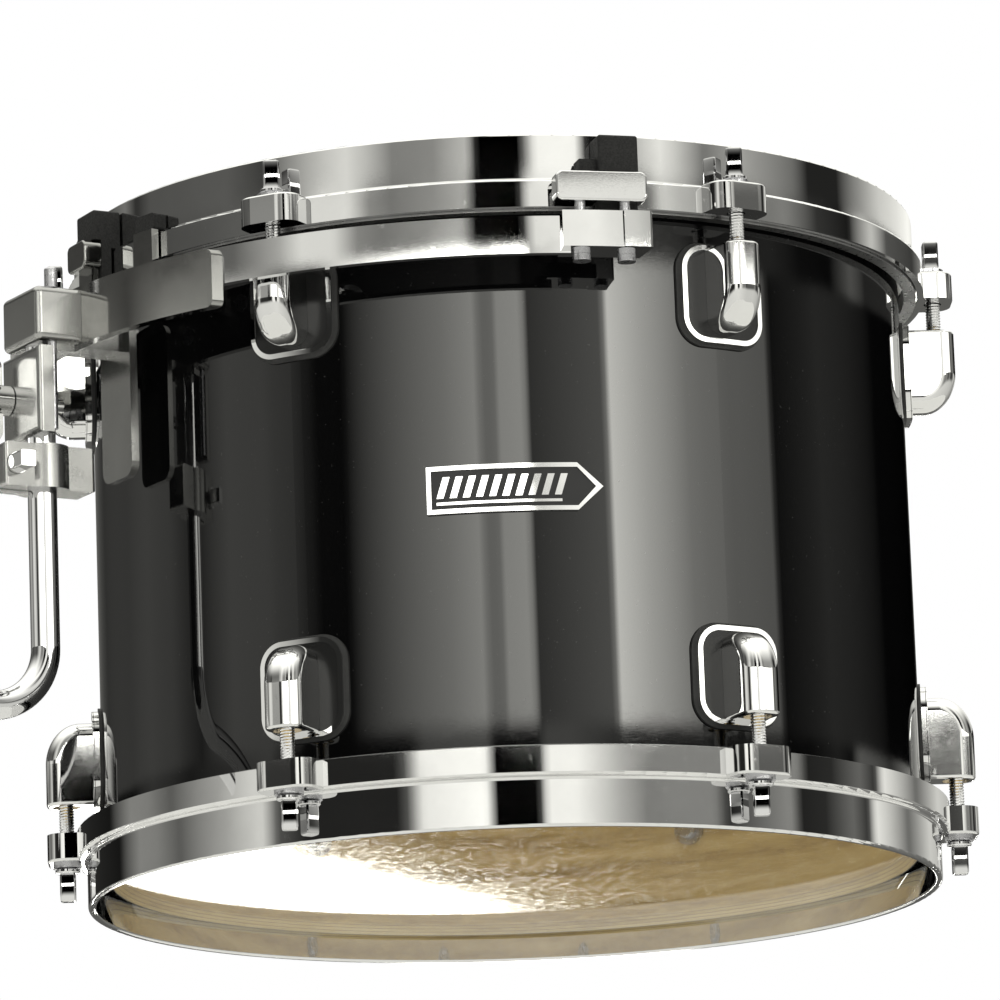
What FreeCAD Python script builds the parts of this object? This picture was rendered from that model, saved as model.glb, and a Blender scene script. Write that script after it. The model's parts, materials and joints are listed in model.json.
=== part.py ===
import FreeCAD, Part
import math
import os

# Tom tom drum, 12 x 9 inch, millimetres.
# Origin: centre of the upper (batter) playing surface. +Z points up along the drum axis.
# Azimuth 0 is the badge side (-Y); positive azimuths go towards +X.

V = FreeCAD.Vector
ORIGIN = V(0, 0, 0)
UP = V(0, 0, 1)

# ---- heads and shell ----
FILM_T = 0.3
SHELL_DEPTH = 228.6
SHELL_TOP_Z = -FILM_T
SHELL_BOTTOM_Z = SHELL_TOP_Z - SHELL_DEPTH
MID_Z = (SHELL_TOP_Z + SHELL_BOTTOM_Z) / 2
WOOD_R_IN = 144.5
WOOD_R_OUT = 150.5
WRAP_R_OUT = 151.0
WRAP_EDGE_INSET = 2.9
APEX_R = 148.3
INNER_BEVEL_DROP = 3.8
OUTER_ROUND_DROP = 2.6
APEX_FLAT_W = 0.4
APEX_FLAT_DROP = 0.1
OUTER_ROUND_STEP_W = 1.0
OUTER_ROUND_STEP_DROP = 1.1

# ---- hoops ----
RIM_Z = 9.5
WALL_R_IN = 153.9
WALL_R_OUT = 157.0
LEDGE_Z = -8.0
SEAT_Z = -10.6
COLLAR_R_IN = 158.0
COLLAR_R_OUT = 160.6
COLLAR_Z = -18.3
RIM_ROUND = 1.0
LEDGE_ROUND = 1.1
EAR_W = 23.0
EAR_R_IN = 158.4
EAR_R_OUT = 171.4
EAR_CORNER = 6.5
EAR_EDGE = 0.9
EAR_HOLE_R = 3.3

# ---- head films: (radius, height) of the outer surface, from the flat to the clamped edge ----
FILM_OUTLINE = (
    (148.6, 0.0), (151.6, -3.2), (152.4, -8.0), (152.4, -11.2), (155.0, -12.4), (155.0, -18.0))
FILM_INNER_OUTLINE = (
    (154.7, -18.0), (154.7, -12.6), (152.1, -11.4), (152.1, -8.1), (151.3, -3.3), (148.4, -0.3))

# ---- flesh hoops ----
FLESH_R_IN = 153.0
FLESH_R_OUT = 157.6
FLESH_BOTTOM_Z = -19.2
FLESH_WALL = 0.8
FLESH_INNER_TOP_Z = -13.2

# ---- tension rods, washers, swivel nuts ----
LUG_COUNT = 6
FIRST_LUG_AZ = 30.0
ROD_R = 2.75
ROD_CIRCLE_R = 164.3
ROD_END_Z = -45.5
WASHER_T = 1.3
WASHER_R = 5.3
WASHER_HOLE_R = 3.1
HEAD_LIFT = 0.3
ROD_COLLAR_T = 1.6
ROD_COLLAR_R = 4.6
ROD_HEAD_W = 5.8
ROD_HEAD_TOP_Z = 5.6
ROD_HEAD_CORNER_R = 3.7
ROD_HEAD_CHAMFER = 0.9
ROD_TIP_CHAMFER = 0.6
ROD_COLLAR_CHAMFER = 0.5
NUT_R = 5.15
NUT_TOP_Z = -30.4
NUT_LENGTH = 16.0
NUT_BORE_R = 2.83

# ---- lugs ----
LUG_TOP_Z = -29.4
LUG_BOTTOM_Z = -60.4
LUG_W = 14.0
LUG_R_OUT = 171.5
LUG_TAIL_START_Z = -45.0
LUG_TAIL_R = 158.6
LUG_FACE_ROUND = 5.6
LUG_ROD_END_ROUND = 1.2
LUG_TAIL_STEPS = 8
LUG_BACK_CLEARANCE = 2.5
BASE_W = 33.0
BASE_H = 35.4
BASE_R_IN = 152.0
BASE_R_OUT = 154.3
BASE_CORNER = 9.0
BASE_MID_Z = -45.8
BASE_BEAD_W = 1.8
BASE_SUNK = 0.4
GASKET_MARGIN = 1.2
POCKET_R = 5.2
POCKET_BOTTOM_Z = -49.5
SCREW_HOLE_R = 2.1
SCREW_R = 2.0
SCREW_TIP_R = 158.3
SCREW_HOLE_END_R = 158.6
SCREW_SPREAD = 10.5
SCREW_WASHER_R = 6.0
SCREW_WASHER_T = 1.2
SCREW_SEAT_R = 144.3
SCREW_HEAD_R = 3.9
SCREW_HEAD_T = 2.6
SCREW_HEAD_ROUND = 1.2

# ---- badge and vent ----
BADGE_W = 62.0
BADGE_H = 17.0
BADGE_T = 0.9
BADGE_RIM_T = 0.7
BADGE_RIM_W = 1.6
BADGE_POINT = 9.0
BADGE_TIP_INSET = 1.6
BADGE_RIB_COUNT = 10
BADGE_RIB_STEP = 4.6
BADGE_RIB_W = 2.4
BADGE_RIB_H = 7.6
BADGE_RIB_LEAN = 2.4
BADGE_RIB_T = 0.5
BADGE_RIB_X = -27.6
BADGE_RIB_LOW = -3.0
BADGE_RULE_W = 44.0
BADGE_RULE_H = 1.0
BADGE_RULE_LOW = -5.4
BADGE_Z = -117.4
VENT_AZ = 180.0
VENT_HOLE_R = 6.0
VENT_TUBE_R_OUT = 5.95
VENT_TUBE_R_IN = 4.6
VENT_FLANGE_R = 9.5
VENT_FLANGE_T = 1.4
VENT_INNER_FLANGE_R = 8.5

# ---- suspension mount ----
MOUNT_AZ = -61.2
ARM_R_IN = 174.2
ARM_R_OUT = 177.4
ARM_TOP_Z = -26.2
ARM_BOTTOM_Z = -39.6
ARM_START_ANGLE = 13.0
PAD_START_ANGLE = 67.2
PAD_LIP_ANGLE = 74.1
PAD_END_ANGLE = 77.4
PAD_R_IN = 165.6
PAD_R_OUT = 181.2
PAD_LIP_T = 1.0
PAD_TOP_Z = -25.0
PAD_BOTTOM_Z = -38.0
PAD_ROUND = 1.2
PLATE_R_OUT = 181.4
PLATE_W = 160.0
PLATE_TOP_Z = -27.0
PLATE_BOTTOM_Z = -48.3
PLATE_CORNER = 2.5
MOUNT_SCREW_R = 1.9
MOUNT_SCREW_HOLE_R = 2.0
MOUNT_SCREW_HEAD_R = 3.2
MOUNT_SCREW_HEAD_T = 2.3
MOUNT_SCREW_LENGTH = 6.4
ARM_SCREW_ANGLES = (17.0, 23.0)
ARM_SCREW_Z = -33.0
BRACKET_SCREW_X = 11.2
BRACKET_SCREW_Z = -38.1
BRACKET_SCREW_SEAT_R = 176.6
JAW_R_IN = 165.2
JAW_R_OUT = 172.0
JAW_CORNER = 2.5
JAW_ROUND = 0.8
END_JAW_ANGLE = 72.5
END_JAW_W = 33.0
END_JAW_TOP_Z = -8.2
END_JAW_BOTTOM_Z = -19.0
JAW_BOLT_ANGLES = (70.0, 75.5)
JAW_BOLT_CIRCLE_R = 168.6
JAW_BOLT_TOP_Z = -10.6
CENTRE_JAW_ANGLE = -2.45
CENTRE_JAW_W = 15.0
CENTRE_JAW_TOP_Z = -5.2
CENTRE_JAW_BOTTOM_Z = -15.6
CENTRE_POST_ANGLE = 9.3
CENTRE_POST_R_IN = 161.1
CENTRE_POST_TOP_Z = -8.0
CENTRE_LEG_W = 11.0
CENTRE_LEG_T = 3.0
CENTRE_FOOT_TOP_Z = -27.6
CENTRE_FOOT_BOTTOM_Z = -33.0
LEG_LAP = 0.5
GRIP_R_IN = 157.4
GRIP_R_OUT = 164.9
GRIP_TOP_R_OUT = 168.0
GRIP_GAP_R = 161.0
GRIP_TOP_Z = 6.2
GRIP_SEAT_Z = -7.7
GRIP_UNDER_Z = -18.6
GRIP_BOTTOM_Z = -21.0
GRIP_UNDER_R_IN = 158.4
GRIP_LIFT = 0.3
GRIP_W = 14.6
GRIP_ROUND = 1.0
GRIP_STEP_W = 5.8
GRIP_STEP_TOP_Z = -2.2
END_GRIP_ANGLE = 75.05
SHORT_GRIP_W = 11.0
SHORT_GRIP_R_OUT = 163.0
SHORT_GRIP_TOP_Z = -1.8
STEM_R_IN = 157.5
STEM_R_OUT = 160.5
STEM_W = 23.0
STEM_TOP_Z = -36.0
STEM_BOTTOM_Z = -94.0
STEM_ROOT_W = 14.0
STEM_ROOT_BOTTOM_Z = -48.0
STEM_CORNER = 5.0

# ---- bracket, clamp, L-rod ----
LROD_R = 5.25
LROD_AXIS_R = 191.0
LROD_TOP_Z = -27.4
LROD_ARM_Z = -180.0
LROD_BEND_R = 22.0
LROD_ARM_END_R = 331.0
LROD_END_CHAMFER = 0.8
CLAMP_BORE_R = 5.33
BLOCK_W = 28.0
BLOCK_R_IN = 180.5
BLOCK_R_OUT = 199.0
BLOCK_TOP_Z = -28.0
BLOCK_BOTTOM_Z = -48.0
BLOCK_ROUND = 2.5
CLAMP_TOP_Z = -49.8
CLAMP_BOTTOM_Z = -81.5
CLAMP_X_NEAR = 13.0
CLAMP_X_FAR = -16.5
CLAMP_R_IN = 173.0
CLAMP_R_OUT = 198.0
CLAMP_SPLIT = 1.0
CLAMP_ROUND = 1.8
CLAMP_SHOULDER = 7.0
NECK_INSET = 1.6
NECK_W = 20.8
HINGE_PIN_X = 10.4
HINGE_PIN_R = 1.6
HINGE_HOLE_R = 1.65
HINGE_PIN_BOTTOM_Z = -80.0
HINGE_HEAD_R = 2.4
HINGE_HEAD_T = 7.4
HINGE_HEAD_ROUND = 0.8
WING_X = -11.2
WING_Z = -65.6
WING_SHANK_R = 2.5
WING_THREAD_BORE_R = 2.58
WING_CLEAR_HOLE_R = 2.9
WING_TIP_R = 177.0
WING_HOLE_END_R = 176.4
WING_HUB_R = 5.5
WING_HUB_T = 9.0
WING_GAP = 0.3
WING_SPAN = 32.0
WING_H = 11.0
WING_T = 3.2
WING_TIP_ROUND = 4.5
WING_HUB_ROUND = 1.2
WING_BLADE_START = 3.0
LOCK_TOP_Z = -85.0
LOCK_BOTTOM_Z = -101.0
LOCK_R = 10.0
LOCK_BORE_R = 5.31
LOCK_TAIL_W = 13.0
LOCK_TAIL_R_IN = 172.5
LOCK_EAR_R_OUT = 209.5
LOCK_EAR_W = 15.0
LOCK_SLIT_W = 1.6
LOCK_ROUND = 1.6
LOCK_BOLT_AXIS_R = 204.8
LOCK_BOLT_R = 1.9
LOCK_BOLT_BORE_R = 1.97
LOCK_BOLT_HEAD_W = 5.8
LOCK_BOLT_HEAD_T = 8.0
LOCK_BOLT_COLLAR_R = 3.9
LOCK_BOLT_COLLAR_T = 1.4
LOCK_BOLT_CORNER = 0.7

WASHER_TOP_Z = LEDGE_Z + WASHER_T
OVERCUT = 1.0
SEAT_GAP = 0.05
TOUCH = 0.01
LONG = 80.0


def ring(points):
    """Solid turned about the drum axis from (radius, height) points."""
    corners = [V(r, 0, z) for r, z in points]
    face = Part.Face(Part.makePolygon(corners + corners[:1]))
    return face.revolve(ORIGIN, UP, 360)


def tube(r_in, r_out, z_low, z_high):
    outer = Part.makeCylinder(r_out, z_high - z_low, V(0, 0, z_low))
    inner = Part.makeCylinder(r_in, z_high - z_low + 2 * OVERCUT, V(0, 0, z_low - OVERCUT))
    return outer.cut(inner)


def at_azimuth(shape, angle):
    turned = shape.copy()
    turned.rotate(ORIGIN, UP, angle)
    return turned


def mirrored(shape):
    """Copy reflected in the mid plane of the shell."""
    return shape.mirror(V(0, 0, MID_Z), UP)


def block(width, r_low, r_high, z_low, z_high, x_mid=0.0):
    """Box facing azimuth 0, between two distances from the axis."""
    return Part.makeBox(width, r_high - r_low, z_high - z_low,
                        V(x_mid - width / 2, -r_high, z_low))


def radial_pin(radius, r_low, r_high, x, z):
    return Part.makeCylinder(radius, r_high - r_low, V(x, -r_low, z), V(0, -1, 0))


def is_line_along(edge, direction):
    if edge.Curve.TypeId != "Part::GeomLine":
        return False
    return edge.Curve.Direction.cross(direction).Length < 1e-6


def soften(shape, radius, keep):
    """Round every edge that the given test keeps."""
    return shape.makeFillet(radius, [edge for edge in shape.Edges if keep(edge)])


def soft_block(width, r_low, r_high, z_low, z_high, corner, direction):
    solid = block(width, r_low, r_high, z_low, z_high)
    return soften(solid, corner, lambda edge: is_line_along(edge, direction))


def curved_pad(width, height, z_mid, r_in, r_out, corner):
    """Pad with rounded corners that follows the shell surface."""
    window = soft_block(width, r_in - 8 * OVERCUT, r_out + OVERCUT,
                        z_mid - height / 2, z_mid + height / 2, corner, V(0, 1, 0))
    return tube(r_in, r_out, z_mid - height, z_mid + height).common(window)


def square_pin(width, corner_r, length, base):
    """Square drum-key head with rounded corners and a domed top edge."""
    head = Part.makeBox(width, width, length, base - V(width / 2, width / 2, 0))
    limit = Part.makeCylinder(corner_r, length, base)
    limit = limit.makeChamfer(ROD_HEAD_CHAMFER, [limit.Edges[0]])
    return head.common(limit)


def circle_edge(radius, z):
    def keep(edge):
        if edge.Curve.TypeId != "Part::GeomCircle":
            return False
        on_axis = math.hypot(edge.Curve.Center.x, edge.Curve.Center.y) < TOUCH
        return on_axis and abs(edge.Curve.Radius - radius) < TOUCH and abs(edge.Curve.Center.z - z) < TOUCH
    return keep


def any_of(tests):
    return lambda edge: any(test(edge) for test in tests)


def fuse_all(shapes):
    return shapes[0].fuse(shapes[1:]).removeSplitter()


LUG_ANGLES = [FIRST_LUG_AZ + index * 360.0 / LUG_COUNT for index in range(LUG_COUNT)]
nodes = {}

# ------------------------------------------------------------------ shell
screw_heights = [BASE_MID_Z + SCREW_SPREAD, BASE_MID_Z - SCREW_SPREAD]
one_lug_drill = [radial_pin(SCREW_R, WOOD_R_IN - 2 * OVERCUT, BASE_R_IN, 0, z) for z in screw_heights]
drills = []
for angle in LUG_ANGLES:
    for drill in one_lug_drill:
        drills.append(at_azimuth(drill, angle))
        drills.append(at_azimuth(mirrored(drill), angle))
vent_drill = at_azimuth(radial_pin(VENT_HOLE_R, WOOD_R_IN - 2 * OVERCUT, BASE_R_IN, 0, MID_Z), VENT_AZ)
drills.append(vent_drill)

half_profile = [
    (WOOD_R_IN, SHELL_TOP_Z - INNER_BEVEL_DROP),
    (APEX_R - APEX_FLAT_W, SHELL_TOP_Z - APEX_FLAT_DROP),
    (APEX_R, SHELL_TOP_Z),
    (APEX_R + OUTER_ROUND_STEP_W, SHELL_TOP_Z - OUTER_ROUND_STEP_DROP),
    (WOOD_R_OUT, SHELL_TOP_Z - OUTER_ROUND_DROP),
]
other_half = [(r, 2 * MID_Z - z) for r, z in reversed(half_profile)]
nodes["shell_plies"] = ring(half_profile + other_half).cut(drills)

wrap = tube(WOOD_R_OUT, WRAP_R_OUT, SHELL_BOTTOM_Z + WRAP_EDGE_INSET, SHELL_TOP_Z - WRAP_EDGE_INSET)
nodes["shell_wrap"] = wrap.cut(drills)

# ------------------------------------------------------------------ badge
half_w = BADGE_W / 2
half_h = BADGE_H / 2


def badge_outline(inset):
    """Long plate with one pointed end, as a prism along the viewing direction."""
    tip = half_w - inset * BADGE_TIP_INSET
    corners = [
        V(-half_w + inset, 0, BADGE_Z - half_h + inset),
        V(half_w - BADGE_POINT, 0, BADGE_Z - half_h + inset),
        V(tip, 0, BADGE_Z),
        V(half_w - BADGE_POINT, 0, BADGE_Z + half_h - inset),
        V(-half_w + inset, 0, BADGE_Z + half_h - inset),
    ]
    face = Part.Face(Part.makePolygon(corners + corners[:1]))
    return face.extrude(V(0, -2 * WRAP_R_OUT, 0))


badge_z = (BADGE_Z - BADGE_H, BADGE_Z + BADGE_H)
badge_plate = tube(WRAP_R_OUT, WRAP_R_OUT + BADGE_T, *badge_z).common(badge_outline(0))
badge_rim = tube(WRAP_R_OUT + BADGE_T / 2, WRAP_R_OUT + BADGE_T + BADGE_RIM_T, *badge_z)
badge_rim = badge_rim.common(badge_outline(0)).cut(badge_outline(BADGE_RIM_W))


def badge_bar(x, z, width, height, lean):
    """Plain slanted bar standing on the badge field."""
    corners = [V(x, 0, z), V(x + width, 0, z), V(x + width + lean, 0, z + height), V(x + lean, 0, z + height)]
    prism = Part.Face(Part.makePolygon(corners + corners[:1])).extrude(V(0, -2 * WRAP_R_OUT, 0))
    return tube(WRAP_R_OUT + BADGE_T / 2, WRAP_R_OUT + BADGE_T + BADGE_RIB_T, *badge_z).common(prism)


badge_bars = [badge_bar(BADGE_RIB_X + index * BADGE_RIB_STEP, BADGE_Z + BADGE_RIB_LOW,
                        BADGE_RIB_W, BADGE_RIB_H, BADGE_RIB_LEAN) for index in range(BADGE_RIB_COUNT)]
badge_bars.append(badge_bar(BADGE_RIB_X, BADGE_Z + BADGE_RULE_LOW, BADGE_RULE_W, BADGE_RULE_H, 0))
nodes["badge"] = fuse_all([badge_plate, badge_rim] + badge_bars)

# ------------------------------------------------------------------ vent grommet
vent_tube = radial_pin(VENT_TUBE_R_OUT, WOOD_R_IN - VENT_FLANGE_T, WRAP_R_OUT + VENT_FLANGE_T, 0, MID_Z)
vent_outer = radial_pin(VENT_FLANGE_R, WOOD_R_OUT - OVERCUT, WRAP_R_OUT + VENT_FLANGE_T, 0, MID_Z)
vent_outer = vent_outer.cut(Part.makeCylinder(WRAP_R_OUT, SHELL_DEPTH, V(0, 0, SHELL_BOTTOM_Z)))
vent_inner = radial_pin(VENT_INNER_FLANGE_R, WOOD_R_IN - VENT_FLANGE_T, WOOD_R_IN + OVERCUT, 0, MID_Z)
vent_inner = vent_inner.common(Part.makeCylinder(WOOD_R_IN, SHELL_DEPTH, V(0, 0, SHELL_BOTTOM_Z)))
vent = fuse_all([vent_tube, vent_outer, vent_inner])
vent = vent.cut(radial_pin(VENT_TUBE_R_IN, WOOD_R_IN - 4 * OVERCUT, BASE_R_OUT, 0, MID_Z))
nodes["vent_grommet"] = at_azimuth(vent, VENT_AZ)

# ------------------------------------------------------------------ lugs
tail = []
for step in range(LUG_TAIL_STEPS + 1):
    turn = math.radians(90.0 * step / LUG_TAIL_STEPS)
    tail.append(V(-LUG_W / 2,
                  -(LUG_TAIL_R + (LUG_R_OUT - LUG_TAIL_R) * math.cos(turn)),
                  LUG_TAIL_START_Z - (LUG_TAIL_START_Z - LUG_BOTTOM_Z) * math.sin(turn)))
tail_curve = Part.BSplineCurve()
tail_curve.interpolate(tail)
back_top = V(-LUG_W / 2, -BASE_R_IN, LUG_TOP_Z)
front_top = V(-LUG_W / 2, -LUG_R_OUT, LUG_TOP_Z)
back_bottom = V(-LUG_W / 2, -BASE_R_IN, LUG_BOTTOM_Z)
lug_wire = Part.Wire([
    Part.makeLine(back_top, front_top),
    Part.makeLine(front_top, tail[0]),
    tail_curve.toShape(),
    Part.makeLine(tail[-1], back_bottom),
    Part.makeLine(back_bottom, back_top),
])
lug_body = Part.Face(lug_wire).extrude(V(LUG_W, 0, 0))


def lug_flank_edge(edge):
    """Long outer edges on the two flanks: the straight front and the curved tail."""
    middle = edge.CenterOfMass
    on_flank = abs(abs(middle.x) - LUG_W / 2) < TOUCH
    return (on_flank and middle.y < -(BASE_R_IN + LUG_BACK_CLEARANCE)
            and abs(middle.z - LUG_TOP_Z) > TOUCH)


def lug_rod_end_edge(edge):
    """Outline of the flat rod end, away from the shell."""
    middle = edge.CenterOfMass
    return abs(middle.z - LUG_TOP_Z) < TOUCH and middle.y < -(BASE_R_IN + LUG_BACK_CLEARANCE)


lug_body = soften(lug_body, LUG_FACE_ROUND, lug_flank_edge)
lug_body = soften(lug_body, LUG_ROD_END_ROUND, lug_rod_end_edge)
lug_base = curved_pad(BASE_W, BASE_H, BASE_MID_Z, BASE_R_IN, BASE_R_OUT, BASE_CORNER)
sunk_face = curved_pad(BASE_W - 2 * BASE_BEAD_W, BASE_H - 2 * BASE_BEAD_W, BASE_MID_Z,
                       BASE_R_OUT - BASE_SUNK, BASE_R_OUT + OVERCUT, BASE_CORNER - BASE_BEAD_W)
lug_base = lug_base.cut(sunk_face)
pocket = Part.makeCylinder(POCKET_R, LUG_TOP_Z - POCKET_BOTTOM_Z + OVERCUT,
                           V(0, -ROD_CIRCLE_R, POCKET_BOTTOM_Z))
lug_holes = [radial_pin(SCREW_HOLE_R, BASE_R_IN - OVERCUT, SCREW_HOLE_END_R, 0, z) for z in screw_heights]
shell_space = Part.makeCylinder(BASE_R_IN, 2 * BASE_H, V(0, 0, BASE_MID_Z - BASE_H))
lug = fuse_all([lug_body.cut(shell_space), lug_base]).cut([pocket] + lug_holes)

gasket = curved_pad(BASE_W + 2 * GASKET_MARGIN, BASE_H + 2 * GASKET_MARGIN, BASE_MID_Z,
                    WRAP_R_OUT, BASE_R_IN, BASE_CORNER + GASKET_MARGIN)
gasket = gasket.cut([radial_pin(SCREW_HOLE_R, WRAP_R_OUT - OVERCUT, BASE_R_OUT, 0, z) for z in screw_heights])

nut = Part.makeCylinder(NUT_R, NUT_LENGTH, V(0, -ROD_CIRCLE_R, NUT_TOP_Z - NUT_LENGTH))
nut = nut.cut(Part.makeCylinder(NUT_BORE_R, NUT_LENGTH + 2 * OVERCUT,
                                V(0, -ROD_CIRCLE_R, NUT_TOP_Z - NUT_LENGTH - OVERCUT)))

screws = []
screw_washers = []
for z in screw_heights:
    shank = radial_pin(SCREW_R, SCREW_SEAT_R - SCREW_WASHER_T, SCREW_TIP_R, 0, z)
    cap = radial_pin(SCREW_HEAD_R, SCREW_SEAT_R - SCREW_WASHER_T - SCREW_HEAD_T,
                     SCREW_SEAT_R - SCREW_WASHER_T, 0, z)
    cap = soften(cap, SCREW_HEAD_ROUND, lambda edge: edge.Curve.TypeId == "Part::GeomCircle"
                 and edge.Curve.Center.y > -(SCREW_SEAT_R - SCREW_WASHER_T) + TOUCH)
    screws.append(fuse_all([shank, cap]))
    washer = radial_pin(SCREW_WASHER_R, SCREW_SEAT_R - SCREW_WASHER_T, SCREW_SEAT_R, 0, z)
    hole = radial_pin(SCREW_HOLE_R, SCREW_SEAT_R - 2 * SCREW_WASHER_T, WOOD_R_OUT, 0, z)
    screw_washers.append(washer.cut(hole))

# ------------------------------------------------------------------ tension rods
rod_collar_z = WASHER_TOP_Z + HEAD_LIFT
rod_shank = Part.makeCylinder(ROD_R, rod_collar_z - ROD_END_Z, V(0, -ROD_CIRCLE_R, ROD_END_Z))
rod_shank = rod_shank.makeChamfer(ROD_TIP_CHAMFER, [edge for edge in rod_shank.Edges
                                                    if abs(edge.CenterOfMass.z - ROD_END_Z) < TOUCH])
rod_collar = Part.makeCylinder(ROD_COLLAR_R, ROD_COLLAR_T, V(0, -ROD_CIRCLE_R, rod_collar_z))
rod_collar = rod_collar.makeChamfer(ROD_COLLAR_CHAMFER, [rod_collar.Edges[0]])
square_base_z = rod_collar_z + ROD_COLLAR_T
rod_square = square_pin(ROD_HEAD_W, ROD_HEAD_CORNER_R, ROD_HEAD_TOP_Z - square_base_z,
                        V(0, -ROD_CIRCLE_R, square_base_z))
rod = fuse_all([rod_shank, rod_collar, rod_square])

rod_washer = Part.makeCylinder(WASHER_R, WASHER_T, V(0, -ROD_CIRCLE_R, LEDGE_Z))
rod_washer = rod_washer.cut(Part.makeCylinder(WASHER_HOLE_R, WASHER_T + 2 * OVERCUT,
                                              V(0, -ROD_CIRCLE_R, LEDGE_Z - OVERCUT)))

gaskets = {"batter": [], "resonant": []}
nuts = []
all_screws = []
all_screw_washers = []
rod_washers = []
for index, angle in enumerate(LUG_ANGLES, start=1):
    for side in ("batter", "resonant"):
        place = (lambda shape: shape) if side == "batter" else mirrored
        nodes["lug_%s_%d" % (side, index)] = at_azimuth(place(lug), angle)
        nodes["tension_rod_%s_%d" % (side, index)] = at_azimuth(place(rod), angle)
        gaskets[side].append(at_azimuth(place(gasket), angle))
        nuts.append(at_azimuth(place(nut), angle))
        rod_washers.append(at_azimuth(place(rod_washer), angle))
        all_screws.extend(at_azimuth(place(screw), angle) for screw in screws)
        all_screw_washers.extend(at_azimuth(place(washer), angle) for washer in screw_washers)
nodes["lug_gaskets_batter"] = Part.makeCompound(gaskets["batter"])
nodes["lug_gaskets_resonant"] = Part.makeCompound(gaskets["resonant"])
nodes["swivel_nuts"] = Part.makeCompound(nuts)
nodes["rod_washers"] = Part.makeCompound(rod_washers)
nodes["lug_screws"] = Part.makeCompound(all_screws)
nodes["lug_screw_washers"] = Part.makeCompound(all_screw_washers)

# ------------------------------------------------------------------ hoops
hoop = ring([
    (WALL_R_IN, RIM_Z), (WALL_R_OUT, RIM_Z), (WALL_R_OUT, LEDGE_Z), (COLLAR_R_OUT, LEDGE_Z),
    (COLLAR_R_OUT, COLLAR_Z), (COLLAR_R_IN, COLLAR_Z), (COLLAR_R_IN, SEAT_Z), (WALL_R_IN, SEAT_Z),
])
hoop = soften(hoop, RIM_ROUND, any_of([circle_edge(WALL_R_IN, RIM_Z), circle_edge(WALL_R_OUT, RIM_Z)]))
hoop = soften(hoop, LEDGE_ROUND,
              any_of([circle_edge(COLLAR_R_OUT, LEDGE_Z), circle_edge(WALL_R_OUT, LEDGE_Z)]))
ear = block(EAR_W, EAR_R_IN, EAR_R_OUT, COLLAR_Z, LEDGE_Z)
ear = soften(ear, EAR_CORNER,
             lambda edge: is_line_along(edge, UP) and edge.CenterOfMass.y < -EAR_R_OUT + TOUCH)
ear = soften(ear, EAR_EDGE, lambda edge: abs(edge.CenterOfMass.z - LEDGE_Z) < TOUCH
             and edge.CenterOfMass.y < -(EAR_R_IN + OVERCUT))
ear_hole = Part.makeCylinder(EAR_HOLE_R, LEDGE_Z - COLLAR_Z + 4 * OVERCUT,
                             V(0, -ROD_CIRCLE_R, COLLAR_Z - 2 * OVERCUT))
hoop = fuse_all([hoop] + [at_azimuth(ear, angle) for angle in LUG_ANGLES])
hoop = hoop.cut([at_azimuth(ear_hole, angle) for angle in LUG_ANGLES])
nodes["hoop_batter"] = hoop
nodes["hoop_resonant"] = mirrored(hoop)

# ------------------------------------------------------------------ heads
film = ring([(0, 0)] + list(FILM_OUTLINE) + list(FILM_INNER_OUTLINE) + [(0, -FILM_T)])
nodes["head_film_batter"] = film
nodes["head_film_resonant"] = mirrored(film)
flesh = ring([
    (FLESH_R_IN, FLESH_INNER_TOP_Z), (FLESH_R_IN + FLESH_WALL, FLESH_INNER_TOP_Z),
    (FLESH_R_IN + FLESH_WALL, FLESH_BOTTOM_Z + FLESH_WALL),
    (FLESH_R_OUT - FLESH_WALL, FLESH_BOTTOM_Z + FLESH_WALL),
    (FLESH_R_OUT - FLESH_WALL, SEAT_Z), (FLESH_R_OUT, SEAT_Z),
    (FLESH_R_OUT, FLESH_BOTTOM_Z), (FLESH_R_IN, FLESH_BOTTOM_Z),
])
nodes["flesh_hoop_batter"] = flesh
nodes["flesh_hoop_resonant"] = mirrored(flesh)

# ------------------------------------------------------------------ suspension mount


def band(r_in, r_out, z_low, z_high, start, end):
    """Part of a ring between two azimuths."""
    corners = [V(0, -r_in, z_low), V(0, -r_out, z_low), V(0, -r_out, z_high), V(0, -r_in, z_high)]
    face = Part.Face(Part.makePolygon(corners + corners[:1]))
    return at_azimuth(face.revolve(ORIGIN, UP, end - start), start)


def azimuth_of(point):
    """Azimuth of a point in degrees, zero toward -Y."""
    return math.degrees(math.atan2(point.x, -point.y))


def inner_screw(seat_r, x, z):
    """Cap screw driven away from the drum axis, its head on the drum side."""
    shank = radial_pin(MOUNT_SCREW_R, seat_r, seat_r + MOUNT_SCREW_LENGTH, x, z)
    head = radial_pin(MOUNT_SCREW_HEAD_R, seat_r - MOUNT_SCREW_HEAD_T, seat_r, x, z)
    return fuse_all([shank, head])


def upright(radius, z_low, z_high, r, angle):
    """Vertical cylinder at a distance and azimuth."""
    return at_azimuth(Part.makeCylinder(radius, z_high - z_low, V(0, -r, z_low)), angle)


def mirror_x(shape):
    return shape.mirror(ORIGIN, V(1, 0, 0))


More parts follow.
